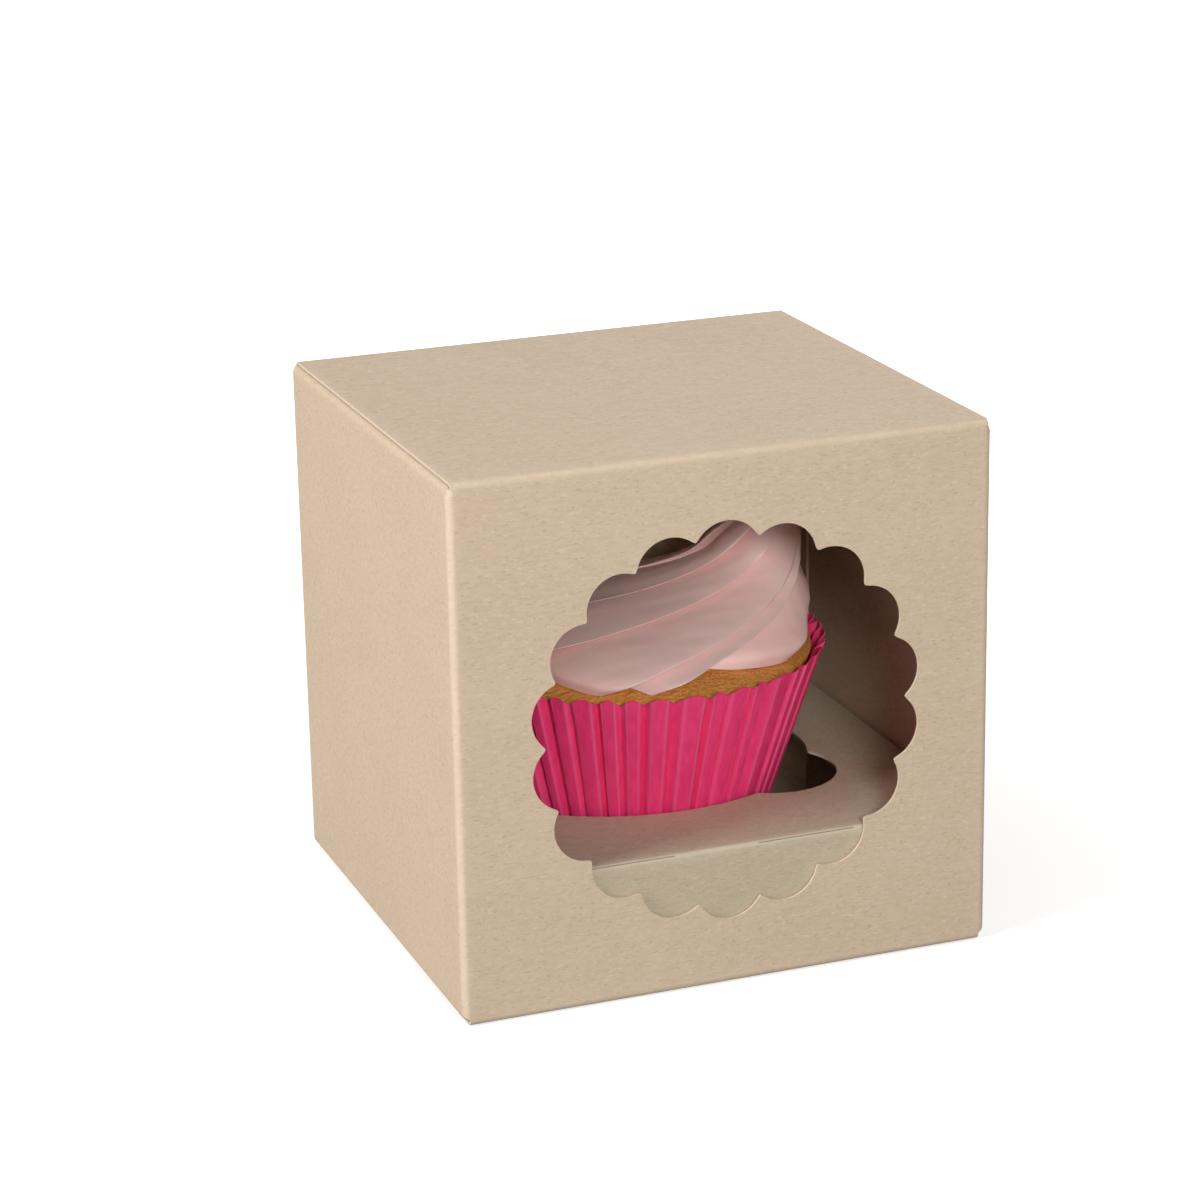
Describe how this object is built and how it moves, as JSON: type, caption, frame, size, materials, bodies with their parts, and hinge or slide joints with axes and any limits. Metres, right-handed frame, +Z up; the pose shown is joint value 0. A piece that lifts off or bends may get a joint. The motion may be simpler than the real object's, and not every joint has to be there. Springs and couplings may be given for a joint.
{
  "type": "cupcake box",
  "caption": "Folded board box for a single cupcake, with a scalloped front window, a hinged tuck lid, an insert that holds the paper case, and the cupcake in it.",
  "frame": {"origin": "centre of the underside", "axes": "+X to the right seen from the front, +Y from the window to the back, +Z up"},
  "size_m": [0.095, 0.088, 0.093],
  "materials": {
    "kraft_board": "matt fine-flecked kraft",
    "case_paper": "pleated magenta greaseproof paper",
    "cake": "fine golden crumb",
    "frosting": "smooth satin buttercream"
  },
  "bodies": {
    "carton": {"carton": "kraft_board", "insert": "kraft_board", "paper_case": "case_paper", "cake": "cake", "frosting": "frosting"},
    "lid": {"lid": "kraft_board"}
  },
  "joints": [
    {"name": "lid_hinge", "type": "hinge", "parent": "carton", "child": "lid", "pos_m": [0, -0.044, 0.0918], "axis": [1, 0, 0], "range_deg": [0, 180]}
  ]
}
